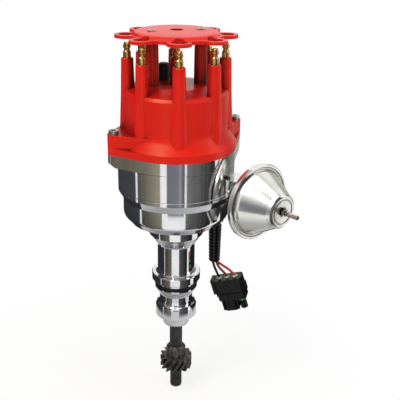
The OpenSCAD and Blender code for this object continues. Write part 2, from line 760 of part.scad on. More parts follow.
module advance_plate() {
    disc_r = rotor_pin_r + 4.2;
    window_r = 5;
    color("goldenrod") spin_frame() difference() {
        union() {
            translate([0, 0, advance_z]) cylinder(r = disc_r, h = advance_t);
            at_weight_pins() translate([0, 0, advance_z]) cylinder(r = pin_r, h = pin_top_z - advance_z);
            at_rotor_posts() translate([0, 0, advance_z]) cylinder(r = 3.2, h = rotor_z - advance_z);
        }
        translate([0, 0, advance_z - cut]) cylinder(r = sleeve_r - 1.19, h = advance_t + 2 * cut);
        for (a = [0, 180]) rotate([0, 0, a]) translate([(sleeve_r + disc_r) / 2, 0, advance_z - cut])
            cylinder(r = window_r, h = advance_t + 2 * cut);
        at_rotor_posts() translate([0, 0, rotor_z - rotor_screw_len - 1])
            cylinder(r = rotor_screw_r + fit, h = rotor_screw_len + 1 + cut);
    }
}

// Crescent weight round the cam, hung on a pin through its eye at 90 degrees
module weight() {
    inner = 10.9;
    outer = weight_pin_r - 1;
    eye_r = 5.2;
    reach = 2 * outer;
    translate([0, 0, weight_z]) linear_extrude(weight_t) difference() {
        union() {
            translate([0, weight_pin_r]) circle(r = eye_r);
            intersection() {
                difference() {
                    circle(r = outer);
                    circle(r = inner);
                }
                polygon([[0, 0], reach * [cos(90), sin(90)], reach * [cos(130), sin(130)],
                    reach * [cos(170), sin(170)], reach * [cos(203), sin(203)]]);
            }
        }
        translate([0, weight_pin_r]) circle(r = pin_r + fit);
    }
}

module weight_a() {
    color("gray") spin_frame() weight();
}

module weight_b() {
    color("gray") spin_frame() rotate([0, 0, 180]) weight();
}

// Tension spring from a weight pin to the cam arm: an eye round the pin, the coil, and a long
// loop that lets the arm's post travel before the spring pulls
module advance_spring() {
    a = weight_pin_r * [cos(90), sin(90)];
    b = arm_pitch_r * [cos(arm_angle), sin(arm_angle)];
    span = norm(b - a);
    wire_r = 0.45;
    coil_r = 2;
    eye = pin_r + wire_r + 0.1;
    half = arm_post_r + wire_r + 0.75;
    coil_start = eye + 0.8;
    coil_end = span - half - 0.6;
    turns = 8;
    steps = 10 * turns;
    travel = 2 * arm_pitch_r * sin(advance_travel / 2) + 0.6;
    path = concat(
        [for (i = [50 : 20 : 310]) [eye * cos(i), eye * sin(i), 0]],
        [for (i = [0 : steps]) [coil_start + (coil_end - coil_start) * i / steps,
            -coil_r * cos(360 * i / 10), coil_r * sin(360 * i / 10)]],
        [[span - 0.6, -half, 0], [span + travel * 0.5, -half, 0]],
        [for (i = [-90 : 20 : 90]) [span + travel + half * cos(i), half * sin(i), 0]],
        [[span, half, 0]]);
    translate([a[0], a[1], spring_z]) rotate([0, 0, atan2(b[1] - a[1], b[0] - a[0])])
        sweep(path, wire_r, 6, [0.1, 0.2, 1]);
}

module spring_a() {
    color("gainsboro") spin_frame() advance_spring();
}

module spring_b() {
    color("gainsboro") spin_frame() rotate([0, 0, 180]) advance_spring();
}

module reluctor() {
    color("dimgray") spin_frame() translate([0, 0, pole_z - reluctor_w / 2]) difference() {
        union() {
            cylinder(r = sleeve_r + 3, h = reluctor_w);
            intersection() {
                cylinder(r = reluctor_r, h = reluctor_w);
                for (k = [0 : reluctor_teeth - 1]) rotate([0, 0, k * 360 / reluctor_teeth])
                    translate([0, -1.8, 0]) cube([reluctor_r + 1, 3.6, reluctor_w]);
            }
        }
        translate([0, 0, -cut]) cylinder(r = sleeve_r + 0.01, h = reluctor_w + 2 * cut);
    }
}

rotor_r = rotor_pin_r + 6;
rotor_boss_r = 13;
rotor_top_r = 8.5;
rotor_screw_r = 1.5;
module rotor() {
    arm_half = 5;
    color("firebrick") spin_frame() difference() {
        union() {
            translate([0, 0, rotor_z]) cylinder(r = rotor_r, h = rotor_t);
            translate([0, 0, rotor_z + rotor_t])
                cylinder(r1 = rotor_boss_r, r2 = rotor_top_r, h = rotor_h - rotor_t);
            intersection() {
                translate([0, -arm_half, rotor_z]) cube([blade_tip_r - 3, 2 * arm_half, rotor_h]);
                rotate_extrude() polygon([[0, rotor_z], [rotor_r, rotor_z],
                    [rotor_r, rotor_z + rotor_t], [blade_tip_r - 3, blade_z - 4],
                    [blade_tip_r - 3, blade_z], [0, blade_z]]);
            }
        }
        at_rotor_posts() translate([0, 0, rotor_z - cut])
            cylinder(r = rotor_screw_r + fit, h = rotor_h + cut);
    }
}

module rotor_blade() {
    blade_w = 6;
    hub_pad_r = 4.4;
    dome_r = 3;
    tip_len = 3;
    tip_h = 3;
    color("gold") spin_frame() translate([0, 0, blade_z]) {
        translate([0, -blade_w / 2, 0]) cube([blade_tip_r - 1.5, blade_w, blade_t]);
        cylinder(r = hub_pad_r, h = blade_t);
        translate([0, 0, blade_t]) cylinder(r1 = dome_r, r2 = dome_r - 1, h = blade_dome_h);
        intersection() {
            translate([blade_tip_r - tip_len, -blade_w / 2, 0]) cube([tip_len + 1, blade_w, blade_t + tip_h]);
            cylinder(r = blade_tip_r, h = blade_t + tip_h);
        }
    }
}

module rotor_screws() {
    color("gainsboro") spin_frame() at_rotor_posts() translate([0, 0, rotor_z + rotor_t])
        cap_screw(rotor_screw_r, 3, 2, rotor_t + rotor_screw_len);
}

// The magnetic pickup stands on the vacuum plate behind the left rear reluctor tooth
pickup_angle = tower_phase + 225;
pin_s = -vac_offset * sin(5);
pin_off = vac_offset * cos(5);
link_pin_r = 1.5;

module pickup_plate() {
    color("lightgray") translate([0, 0, plate_z]) difference() {
        cylinder(r = plate_r, h = plate_t);
        translate([0, 0, -cut]) cylinder(r = pivot_r + fit, h = plate_t + 2 * cut);
        for (k = [0 : 5]) rotate([0, 0, pickup_angle + 30 + 60 * k]) translate([plate_r - 12, 0, -cut])
            cylinder(r = 5, h = plate_t + 2 * cut);
        vac_frame() translate([pin_s, pin_off, -cut]) cylinder(r = link_pin_r + 0.01, h = plate_t + 2 * cut);
    }
}

module plate_ring() {
    color("dimgray") translate([0, 0, plate_ring_z]) snap_ring(pivot_r - 0.75, pivot_r + 2.4, ring_t);
}

module pickup_coil() {
    pole_r = reluctor_r + pole_gap;
    foot_z = plate_z + plate_t;
    pole_len = 5.4;
    pole_w = 3.6;
    pole_h = 7;
    bobbin_r = 7;
    bobbin_len = 9;
    stand_w = 12;
    base_w = 20;
    base_t = 3;
    color("#1f3a7a") rotate([0, 0, pickup_angle]) {
        translate([pole_r, -pole_w / 2, pole_z - pole_h / 2]) cube([pole_len, pole_w, pole_h]);
        translate([pole_r + pole_len, 0, pole_z]) rotate([0, 90, 0])
            cylinder(r = bobbin_r, h = bobbin_len);
        translate([pole_r + pole_len + 1, -stand_w / 2, foot_z])
            cube([bobbin_len - 2, stand_w, pole_z - foot_z]);
        translate([pole_r + pole_len + 1, -base_w / 2, foot_z]) cube([bobbin_len, base_w, base_t]);
    }
}

module link_pin() {
    head_t = 0.9;
    color("silver") vac_frame() translate([pin_s, pin_off, 0]) {
        translate([0, 0, link_z - 0.3]) cylinder(r = link_pin_r, h = plate_z + plate_t - link_z + 0.3);
        translate([0, 0, link_z - 0.3 - head_t]) cylinder(r = link_pin_r + 0.9, h = head_t);
    }
}

module ignition_module() {
    r_in = 21;
    r_out = pot_r - 1.5;
    color("#202225") translate([0, 0, floor_z]) difference() {
        intersection() {
            tube(r_out, r_in, module_h);
            linear_extrude(module_h) polygon([[0, 0], 80 * [cos(98), sin(98)],
                80 * [cos(140), sin(140)], 80 * [cos(180), sin(180)], 80 * [cos(220), sin(220)],
                80 * [cos(262), sin(262)]]);
        }
        translate([0, 0, -floor_z]) at_module_screws() translate([0, 0, floor_z - cut])
            cylinder(r = module_screw_r + fit, h = module_h + 2 * cut);
    }
}

module module_screws() {
    color("gainsboro") at_module_screws() translate([0, 0, floor_z + module_h])
        cap_screw(module_screw_r, 3, 2, module_h + 3.6);
}

// Frame at the centre of the canister's rim, with +Z along the pull line
module canister_frame() {
    vac_frame() translate([vac_rim_s, vac_offset, vac_z]) rotate([0, 90, 0]) children();
}

cup_depth = 10.5;
sheet_t = 1.1;
rod_r = 2;
lip_r = vac_rim_r - 1.4;
module canister_cup() {
    back_s = vac_rim_s - cup_depth;
    cheek_t = 1.8;
    cheek_off = arm_w / 2 + 1.7;
    color("lightgray") {
        canister_frame() rotate_extrude() polygon([[rod_r + 1.4, -cup_depth],
            [vac_rim_r - 10, -cup_depth], [vac_rim_r - 5.4, -cup_depth + 4.6],
            [vac_rim_r - 4.2, -sheet_t - 0.1], [lip_r, -sheet_t - 0.1], [lip_r, -0.1],
            [vac_rim_r - 5.6, -0.1], [vac_rim_r - 6.6, -cup_depth + 5.2],
            [vac_rim_r - 10.6, -cup_depth + sheet_t], [rod_r + 1.4, -cup_depth + sheet_t]]);
        vac_frame() difference() {
            union() {
                translate([pad_s, vac_offset - pad_w / 2, pad_z]) cube([bracket_t, pad_w, pad_h]);
                for (y = [-cheek_off - cheek_t, cheek_off]) translate([pad_s, vac_offset + y, pad_z])
                    cube([back_s - pad_s + 0.2, cheek_t, pad_h]);
            }
            link_slot(pad_s - cut, pad_s + bracket_t + cut);
            at_bracket_screws(pad_s - cut) cylinder(r = bracket_screw_r + fit, h = bracket_t + 2 * cut);
        }
    }
}

// Bell with the rolled rim, a stepped face, a hexagon and the hose nipple
module canister_bell() {
    hex_t = 3.4;
    r = bell_face_r;
    color("whitesmoke") canister_frame() {
        difference() {
            rotate_extrude() polygon([[vac_rim_r - 1, -2.2], [vac_rim_r, -1.4], [vac_rim_r, 1.8],
                [vac_rim_r - 0.8, 2.8], [vac_rim_r - 2.4, 2.8], [vac_rim_r - 3.2, 1.9],
                [vac_rim_r - 4.6, 1.9], [vac_rim_r - 5.6, 3], [vac_rim_r - 6.6, 5.4],
                [vac_rim_r - 8.8, 9.4], [r + 3.2, bell_len - 4.4], [r + 2, bell_len - 1.4],
                [r + 0.8, bell_len - 0.3], [r, bell_len], [r - 1.6, bell_len],
                [r - 2, bell_len - 0.6], [r - 2.8, bell_len - 0.6], [r - 3.2, bell_len],
                [0, bell_len], [0, bell_len - 1.4], [r - 0.4, bell_len - 1.4],
                [r + 1.8, bell_len - 5], [vac_rim_r - 10.2, 8.8], [vac_rim_r - 8, 4.8],
                [vac_rim_r - 6.8, 2], [vac_rim_r - 5.8, 0.9], [lip_r + 0.05, 0.9],
                [lip_r + 0.05, -1.25], [vac_rim_r - 2.2, -1.25], [vac_rim_r - 2.2, -2.2]]);
            translate([0, 0, bell_len - 3]) cylinder(r = nipple_r * 0.55, h = 4);
        }
        translate([0, 0, bell_len]) difference() {
            union() {
                cylinder(r = 3.9, h = hex_t, $fn = 6);
                cylinder(r = nipple_r, h = nipple_len - 0.6);
                translate([0, 0, nipple_len - 0.6]) cylinder(r1 = nipple_r, r2 = nipple_r - 0.4, h = 0.6);
            }
            translate([0, 0, -cut]) cylinder(r = nipple_r * 0.55, h = nipple_len + 2 * cut);
        }
    }
}

dish_r = 17.6;
module diaphragm() {
    color("black") canister_frame() rotate_extrude() polygon([[lip_r, -0.1], [lip_r, 0.9],
        [vac_rim_r - 6.2, 0.9], [vac_rim_r - 8, 2], [dish_r + 3, 2], [dish_r + 0.5, 0.9],
        [dish_r + 0.5, -0.1], [dish_r + 3.4, 1], [vac_rim_r - 8.4, 1], [vac_rim_r - 6.4, -0.1]]);
}

module diaphragm_plate() {
    color("silver") canister_frame() rotate_extrude() polygon([[rod_r + 0.01, -0.4], [dish_r - 1, -0.4],
        [dish_r, 0.6], [dish_r, 2.2], [dish_r - 1, 2.2], [dish_r - 1, 0.8], [rod_r + 0.01, 0.8]]);
}

vac_travel = 6.35;
module return_spring() {
    spring_r = 9;
    wire_r = 0.7;
    seat = 1;
    color("gainsboro") canister_frame() translate([0, 0, seat + vac_travel])
        coil_spring(spring_r, wire_r, bell_len - vac_travel - seat - 1.5, 5, 16);
}

// Pull rod with its bent arm, hooked on the pin of the pickup plate
module vacuum_link() {
    leg_s = pad_s + bracket_t + 0.6;
    leg_t = 2.4;
    color("silver") {
        vac_frame() {
            difference() {
                translate([pin_s - 4, vac_offset - arm_w / 2, link_z])
                    cube([leg_s + leg_t - pin_s + 4, arm_w, arm_gauge]);
                hull() for (d = [-0.3, 0.3]) translate([pin_s, (pin_off + vac_offset) / 2 + d, link_z - cut])
                    cylinder(r = link_pin_r + 0.1, h = arm_gauge + 2 * cut);
            }
            translate([leg_s, vac_offset - arm_w / 2, vac_z - 3])
                cube([leg_t, arm_w, link_z + arm_gauge - vac_z + 3]);
        }
        canister_frame() translate([0, 0, leg_s + leg_t / 2 - vac_rim_s])
            cylinder(r = rod_r, h = vac_rim_s - leg_s - leg_t / 2 + 1.4);
    }
}

module canister_screws() {
    head_r = 3.4;
    head_h = 2.2;
    color("silver") vac_frame() at_bracket_screws(pad_s + bracket_t)
        cap_screw(bracket_screw_r, head_r, head_h, bracket_t + bracket_screw_len);
}

lead_flange_t = 2;
lead_top = body_bottom - lead_flange_t;
module lead_grommet() {
    color("#18181a") translate([lead_x, lead_y, 0]) {
        translate([0, 0, lead_top]) cylinder(r = lead_flange_r, h = lead_flange_t);
        translate([0, 0, lead_top]) cylinder(r = grommet_r, h = floor_z + 1.5 - lead_top);
        translate([0, 0, floor_z + 0.1]) cylinder(r1 = grommet_r + 1, r2 = grommet_r, h = 1.4);
    }
}

// Conduit with round ribs, pressed narrower towards its mouth
rib_pitch = 3.5;
rib_depth = 0.9;
conduit_wall = 1.6;
function rib_r(z) = mouth_r + (conduit_r - mouth_r) * z / conduit_len;
module lead_conduit() {
    ribs = floor((conduit_len - 1) / rib_pitch);
    color("#1c1c1e") translate([lead_x, lead_y, lead_top - conduit_len]) rotate_extrude() polygon(concat(
        [[mouth_r - conduit_wall, 0], [mouth_r - rib_depth, 0]],
        [for (i = [0 : ribs - 1], corner = [[0.8, rib_depth], [1.1, 0], [2.4, 0], [2.7, rib_depth]])
            let (z = corner[0] + i * rib_pitch) [rib_r(z) - corner[1], z]],
        [[conduit_r - rib_depth, conduit_len], [conduit_r - conduit_wall, conduit_len]]));
}

// Place on the plug, from its own axes: x along its width, z up its length
plug_drop = 15.3;
plug_at = [lead_x + 12.5, lead_y - 5, lead_top - conduit_len - plug_drop];
plug_pitch = 7.9;
seal_top = 1.26;
function plug_point(x, z) = let (u = x * cos(plug_turn), v = -x * sin(plug_turn))
    plug_at + [u * cos(plug_tilt) - z * sin(plug_tilt), v, u * sin(plug_tilt) + z * cos(plug_tilt)];

wire_r = 1.2;
mouth_z = lead_top - conduit_len;
function lead_point(x, y, z) = [lead_x + x, lead_y + y, mouth_z + z];
black_route = [lead_point(-1.5, -1.4, conduit_len), lead_point(-1.5, -1.4, 20), lead_point(-1.5, -1.5, 2.2),
    lead_point(0, -1.9, -5.3), lead_point(2.6, -2.5, -11.6), plug_point(-plug_pitch, seal_top)];
red_route = [lead_point(1.8, -1.2, conduit_len), lead_point(1.8, -1.2, 22), lead_point(1.6, -1.1, 4.2),
    lead_point(2.5, -1.7, -2.2), lead_point(5.3, -3, -6.8), lead_point(9, -4.2, -10.5),
    plug_point(0, seal_top)];
orange_route = [lead_point(0.1, 2.2, conduit_len), lead_point(0.1, 2.2, 22), lead_point(0, 2.1, 6.2),
    lead_point(1.7, 1.5, -0.4), lead_point(6.9, -0.8, -4.2), lead_point(13.6, -4.6, -7.3),
    plug_point(plug_pitch, seal_top)];

module wire(route, hue) {
    color(hue) sweep(curve(route, 3), wire_r, 8, [0.2, 1, 0.1]);
}

module wire_black() {
    wire(black_route, "#141414");
}

module wire_red() {
    wire(red_route, "#8c1f2b");
}

module wire_orange() {
    wire(orange_route, "#c9402c");
}

// Three-way sealed plug, hanging on the wires
plug_w = 27.5;
plug_d = 13.6;
plug_h = 22.5;
tower_len = 12.5;
plug_shift = 0.6;
barrel_r = 3.4;
seal_r = 2.9;

module plug_frame() {
    translate(plug_at) rotate([0, -plug_tilt, 0]) rotate([0, 0, -plug_turn]) children();
}

module chamfered_block(w, d, h, c) {
    linear_extrude(h) polygon([[-w / 2 + c, -d / 2], [w / 2 - c, -d / 2], [w / 2, -d / 2 + c],
        [w / 2, d / 2 - c], [w / 2 - c, d / 2], [-w / 2 + c, d / 2], [-w / 2, d / 2 - c],
        [-w / 2, -d / 2 + c]]);
}

module plug_body() {
    nose_w = 2 * plug_pitch - 1.4;
    color("#151517") plug_frame() difference() {
        union() {
            translate([plug_shift, 0, -plug_h]) chamfered_block(plug_w, plug_d, plug_h, 1.6);
            translate([plug_shift, 0, -plug_h + 5]) chamfered_block(plug_w + 1.6, plug_d + 1.6, 2.4, 2);
            translate([plug_w / 2, -2.5, -13]) cube([2.6, 5, 6]);
            translate([plug_shift - plug_pitch / 2, 0, -plug_h - tower_len])
                chamfered_block(nose_w, plug_d - 3, tower_len + cut, 2.4);
            for (i = [0 : 3])
                translate([-plug_pitch - 3 + 4.8 * i, -plug_d / 2 + 0.7, -plug_h - tower_len + 1.4])
                    cube([1.6, 2, tower_len]);
            translate([plug_pitch + plug_shift, 0, -plug_h - tower_len])
                cylinder(r = barrel_r, h = tower_len + cut);
        }
        for (k = [-1, 0, 1]) translate([k * plug_pitch, 0, -3]) cylinder(r = seal_r + 0.01, h = 3 + cut);
        for (k = [-1, 0, 1]) translate([k * plug_pitch + plug_shift, 0, -plug_h - tower_len - cut])
            cylinder(r = 2.1, h = 10);
    }
}

module plug_wire_seals() {
    color("#a9b79a") plug_frame() for (k = [-1, 0, 1]) translate([k * plug_pitch, 0, -3]) {
        cylinder(r = seal_r, h = 3.4);
        translate([0, 0, 3.4]) cylinder(r1 = seal_r - 0.3, r2 = seal_r - 0.9, h = 0.8);
    }
}

// Hinged secondary lock along the plug's left side
module plug_lock() {
    color("#1b1b1e") plug_frame() {
        translate([-plug_w / 2 - 2.6, -plug_d / 2 + 1.4, -15]) cube([3.2, plug_d - 2.8, 15.6]);
        translate([-plug_w / 2 - 3.4, -2.8, -11]) cube([1, 5.6, 7]);
    }
}

module plug_face_seals() {
    color("#4f8f4a") plug_frame() translate([plug_pitch + plug_shift, 0, -plug_h - 3]) {
        for (z = [0, 1.7]) translate([0, 0, z]) tube(barrel_r + 0.85, barrel_r + 0.01, 1.2);
        tube(barrel_r + 0.5, barrel_r + 0.01, 2.9);
    }
}

housing();
cap();
cap_screws();
spark_terminals();
coil_terminal();
coil_button();
button_spring();
vent_plug();
wire_retainer();
retainer_screws();
block_o_ring();
lower_bushing();
upper_bearing();
bearing_ring();
main_shaft();
drive_gear();
gear_pin();
cam_plate();
cam_clip();
advance_sleeve();
advance_plate();
weight_a();
weight_b();
spring_a();
spring_b();
reluctor();
rotor();
rotor_blade();
rotor_screws();
pickup_plate();
plate_ring();
pickup_coil();
link_pin();
ignition_module();
module_screws();
canister_cup();
canister_bell();
diaphragm();
diaphragm_plate();
return_spring();
vacuum_link();
canister_screws();
lead_grommet();
lead_conduit();
wire_black();
wire_red();
wire_orange();
plug_body();
plug_wire_seals();
plug_lock();
plug_face_seals();
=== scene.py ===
# An ignition distributor for a V8 engine, seen from the front and a little above: polished
# housing, red cap with its lead retainer, vacuum canister, drive gear and plugged lead.
import math
from collections import namedtuple

import bmesh
import bpy
from mathutils import Matrix, Vector


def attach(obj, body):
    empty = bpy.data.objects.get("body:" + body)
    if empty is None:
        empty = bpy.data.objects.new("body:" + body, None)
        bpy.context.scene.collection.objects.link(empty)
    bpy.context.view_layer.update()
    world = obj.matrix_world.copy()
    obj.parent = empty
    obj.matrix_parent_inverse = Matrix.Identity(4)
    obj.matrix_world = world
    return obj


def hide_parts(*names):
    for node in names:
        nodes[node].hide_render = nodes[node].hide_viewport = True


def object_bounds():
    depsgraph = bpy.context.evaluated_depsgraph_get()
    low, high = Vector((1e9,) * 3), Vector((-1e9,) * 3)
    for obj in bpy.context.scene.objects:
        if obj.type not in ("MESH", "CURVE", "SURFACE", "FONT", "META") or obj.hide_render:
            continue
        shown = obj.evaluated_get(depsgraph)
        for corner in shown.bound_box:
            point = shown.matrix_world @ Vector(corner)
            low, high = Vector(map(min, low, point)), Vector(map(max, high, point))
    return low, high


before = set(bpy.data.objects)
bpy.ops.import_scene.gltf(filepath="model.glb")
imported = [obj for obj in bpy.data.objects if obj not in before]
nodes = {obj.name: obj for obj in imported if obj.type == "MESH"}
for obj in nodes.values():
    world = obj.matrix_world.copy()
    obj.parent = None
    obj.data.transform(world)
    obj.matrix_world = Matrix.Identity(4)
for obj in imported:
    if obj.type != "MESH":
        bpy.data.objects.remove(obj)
cad_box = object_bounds()

# Camera: a 64 mm lens 0.6 m in front of the distributor and a little higher than its cap, tipped
# down to it. The angles are in degrees.
lens_mm = 63.74
camera_place = (0, -0.6109, 0.3296)
turned_right, tipped_down, leaned = 2.07, 22.21, 0.92
camera = bpy.data.objects.new("camera", bpy.data.cameras.new("camera"))
bpy.context.scene.collection.objects.link(camera)
camera.data.sensor_width = 36
camera.data.lens = lens_mm
camera.data.clip_start = 0.01
camera.matrix_world = (
    Matrix.Translation(camera_place)
    @ Matrix.Rotation(math.radians(-turned_right), 4, "Z")
    @ Matrix.Rotation(math.radians(90 - tipped_down), 4, "X")
    @ Matrix.Rotation(math.radians(leaned), 4, "Z")
)
bpy.context.scene.camera = camera
bpy.context.scene.view_settings.view_transform = "Standard"

# The three wires of the lead: stranded copper in soft PVC, black for ground, red and orange for
# the signals. They leave the grommet, run down inside the conduit and fan out to the plug.
# Lengths here are in mm, and heights in the conduit are above its mouth.
wire_mm = 2.4
lead_x, lead_y, mouth_z = 36.5, -5, 19.8
grommet_z = 42
plug_at = Vector((49, -10, 4.5))
plug_lean = Matrix.Rotation(math.radians(-17), 3, "Y") @ Matrix.Rotation(math.radians(-16), 3, "Z")
cavity_pitch = 7.9
seal_z = 1.26
Finish = namedtuple("Finish", "material tree shader place")


def linear(code):
    """An sRGB hex colour as the linear values a shader takes."""
    parts = [int(code[i : i + 2], 16) / 255 for i in (1, 3, 5)]
    return [c / 12.92 if c <= 0.04045 else ((c + 0.055) / 1.055) ** 2.4 for c in parts] + [1]


def add_node(tree, kind, settings=None, **sockets):
    """One node; a socket, by its name or as n and its number, takes a value or a socket's link."""
    node = tree.nodes.new(kind)
    for name, value in (settings or {}).items():
        setattr(node, name, value)
    for name, value in sockets.items():
        key = int(name[1:]) if name[0] == "n" and name[1:].isdigit() else name.replace("_", " ")
        if isinstance(value, bpy.types.NodeSocket):
            tree.links.new(value, node.inputs[key])
        else:
            node.inputs[key].default_value = value
    return node


def blank_material(name):
    """A material whose node tree is empty."""
    material = bpy.data.materials.new(name)
    material.use_nodes = True
    material.node_tree.nodes.clear()
    return material


def new_finish(name, colour, roughness, metallic=0.0, **sockets):
    """A material with one principled shader, and the object coordinates its patterns read."""
    material = blank_material(name)
    tree = material.node_tree
    shader = add_node(tree, "ShaderNodeBsdfPrincipled", None, Base_Color=linear(colour),
        Roughness=roughness, Metallic=metallic, **sockets)
    add_node(tree, "ShaderNodeOutputMaterial", None, Surface=shader.outputs[0])
    place = add_node(tree, "ShaderNodeTexCoord").outputs["Object"]
    return Finish(material, tree, shader, place)


def moulded_skin(finish, grain_mm, depth_mm, soft_edge_mm=0.25):
    """Fine orange peel of a moulded surface, with its sharp edges broken."""
    grain = add_node(finish.tree, "ShaderNodeTexNoise", None, Vector=finish.place,
        Scale=1000 / grain_mm, Detail=3.0, Roughness=0.6)
    edge = add_node(finish.tree, "ShaderNodeBevel", {"samples": 4}, Radius=soft_edge_mm / 1000)
    skin = add_node(finish.tree, "ShaderNodeBump", None, Height=grain.outputs["Fac"],
        Strength=0.35, Distance=depth_mm / 1000, Normal=edge.outputs["Normal"])
    finish.tree.links.new(skin.outputs["Normal"], finish.shader.inputs["Normal"])


def mottled(finish, dark, light, patch_mm):
    """Slow drift of the colour between two shades."""
    drift = add_node(finish.tree, "ShaderNodeTexNoise", None, Vector=finish.place,
        Scale=1000 / patch_mm, Detail=4.0)
    shades = add_node(finish.tree, "ShaderNodeValToRGB", None, Fac=drift.outputs["Fac"])
    first, last = shades.color_ramp.elements
    first.position, first.color = 0.35, linear(dark)
    last.position, last.color = 0.65, linear(light)
    finish.tree.links.new(shades.outputs["Color"], finish.shader.inputs["Base Color"])


def smooth_route(route, steps):
    """Points on a Catmull-Rom curve through the route's points, in metres."""
    points = []
    for i in range(len(route) - 1):
        a, b, c, d = (Vector(route[min(max(j, 0), len(route) - 1)]) for j in range(i - 1, i + 3))
        for s in range(steps):
            t = s / steps
            points.append((2 * b + (c - a) * t + (2 * a - 5 * b + 4 * c - d) * t**2
                + (3 * b - a - 3 * c + d) * t**3) / 2000)
    return points + [Vector(route[-1]) / 1000]


def lead_point(x, y, z):
    """A point from the middle of the conduit's mouth."""
    return (lead_x + x, lead_y + y, mouth_z + z)


def seal_point(x):
    """The middle of a wire seal, so far along the plug's top."""
    return tuple(plug_at + plug_lean @ Vector((x, 0, seal_z)))


# each wire: name, slot, dark and light shade, and the points it runs through
wire_routes = [
    ("wire_black", "black_insulation", "#0E0E10", "#1A1A1C", [
        lead_point(-1.5, -1.4, grommet_z), lead_point(-1.5, -1.4, 20), lead_point(-1.5, -1.5, 2.2),
        lead_point(0, -1.9, -5.3), lead_point(2.6, -2.5, -11.6), seal_point(-cavity_pitch)]),
    ("wire_red", "red_insulation", "#7E1420", "#9A2430", [
        lead_point(1.8, -1.2, grommet_z), lead_point(1.8, -1.2, 22), lead_point(1.6, -1.1, 4.2),
        lead_point(2.5, -1.7, -2.2), lead_point(5.3, -3, -6.8), lead_point(9, -4.2, -10.5),
        seal_point(0)]),
    ("wire_orange", "orange_insulation", "#B83524", "#D04A34", [
        lead_point(0.1, 2.2, grommet_z), lead_point(0.1, 2.2, 22), lead_point(0, 2.1, 6.2),
        lead_point(1.7, 1.5, -0.4), lead_point(6.9, -0.8, -4.2), lead_point(13.6, -4.6, -7.3),
        seal_point(cavity_pitch)]),
]
for name, slot, dark, light, route in wire_routes:
    insulation = new_finish("pvc_" + name, light, roughness=0.42, Coat_Weight=0.1)
    mottled(insulation, dark, light, patch_mm=6)
    moulded_skin(insulation, grain_mm=0.9, depth_mm=0.05)
    points = smooth_route(route, steps=6)
    line = bpy.data.curves.new(name + "_run", "CURVE")
    line.dimensions = "3D"
    line.bevel_depth = wire_mm / 2000
    line.bevel_resolution = 4
    line.use_fill_caps = True
    spline = line.splines.new("POLY")
    spline.points.add(len(points) - 1)
    for spline_point, point in zip(spline.points, points):
        spline_point.co = (*point, 1)
    line.materials.append(insulation.material)
    wire = bpy.data.objects.new(name + "_run", line)
    bpy.context.scene.collection.objects.link(wire)
    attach(wire, "case")
    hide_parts(name)


# Housing: turned from aluminium billet and polished, so fine lathe lines ring it and its sides
# mirror the studio as upright bands. The neck, hold-down flange and block fit are the same piece.
def give(finish, *names):
    """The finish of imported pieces, set in their objects' own slots."""
    for name in names:
        for slot in nodes[name].material_slots:
            slot.link = "OBJECT"
            slot.material = finish.material


def ramp(tree, value, start, end, low, high):
    """A value carried from one range to another, held at both ends."""
    return add_node(tree, "ShaderNodeMapRange", None, Value=value, From_Min=start, From_Max=end,
        To_Min=low, To_Max=high).outputs[0]


def lathe_lines(finish, line_mm, depth_mm, rough_low, rough_high, soft_edge_mm=0.2):
    """Fine rings about the shaft's axis, which also part dull turns from bright ones."""
    tree = finish.tree
    flat = add_node(tree, "ShaderNodeVectorMath", {"operation": "MULTIPLY"}, n0=finish.place,
        n1=(1, 1, 0))
    radius = add_node(tree, "ShaderNodeVectorMath", {"operation": "LENGTH"}, n0=flat.outputs[0])
    up = add_node(tree, "ShaderNodeSeparateXYZ", None, Vector=finish.place)
    spot = add_node(tree, "ShaderNodeCombineXYZ", None, X=radius.outputs["Value"], Z=up.outputs["Z"])
    rings = add_node(tree, "ShaderNodeTexNoise", None, Vector=spot.outputs[0], Scale=1000 / line_mm,
        Detail=2.0)
    edge = add_node(tree, "ShaderNodeBevel", {"samples": 4}, Radius=soft_edge_mm / 1000)
    cut = add_node(tree, "ShaderNodeBump", None, Height=rings.outputs["Fac"], Strength=0.25,
        Distance=depth_mm / 1000, Normal=edge.outputs["Normal"])
    tree.links.new(cut.outputs["Normal"], finish.shader.inputs["Normal"])
    tree.links.new(ramp(tree, rings.outputs["Fac"], 0.3, 0.7, rough_low, rough_high),
        finish.shader.inputs["Roughness"])


def painted_corner_shade(finish, shade, reach_mm, closed, clear):
    """Painted shade: the base colour turned darker in grooves and between close walls."""
    tree = finish.tree
    base = finish.shader.inputs["Base Color"]
    corner = add_node(tree, "ShaderNodeAmbientOcclusion", {"samples": 8}, Distance=reach_mm / 1000)
    share = ramp(tree, corner.outputs["AO"], closed, clear, 0, 1)
    painted_shade = add_node(tree, "ShaderNodeMix", {"data_type": "RGBA"}, n0=share, n6=linear(shade),
        n7=base.links[0].from_socket)
    tree.links.new(painted_shade.outputs[2], base)


billet = new_finish("polished_billet_aluminium", "#E6E7EA", roughness=0.1, metallic=1.0)
mottled(billet, "#E0E1E5", "#ECECEE", patch_mm=25)
# painted shade: darker in the housing's grooves and close corners
painted_corner_shade(billet, "#4C4D50", reach_mm=2.5, closed=0.3, clear=0.62)
lathe_lines(billet, line_mm=1.4, depth_mm=0.02, rough_low=0.05, rough_high=0.13)
give(billet, "housing")

# O-ring, vent plug, grommet and diaphragm: moulded nitrile rubber, matt black with a faint bloom.
# The O-ring lies in the housing's groove, and plug and grommet are pushed into their holes.
rubber = new_finish("moulded_nitrile_rubber", "#0E0E0F", roughness=0.55, Specular_IOR_Level=0.35)
mottled(rubber, "#0A0A0B", "#141415", patch_mm=5)
moulded_skin(rubber, grain_mm=0.7, depth_mm=0.05, soft_edge_mm=0.2)
give(rubber, "block_o_ring", "vent_plug", "lead_grommet", "diaphragm")

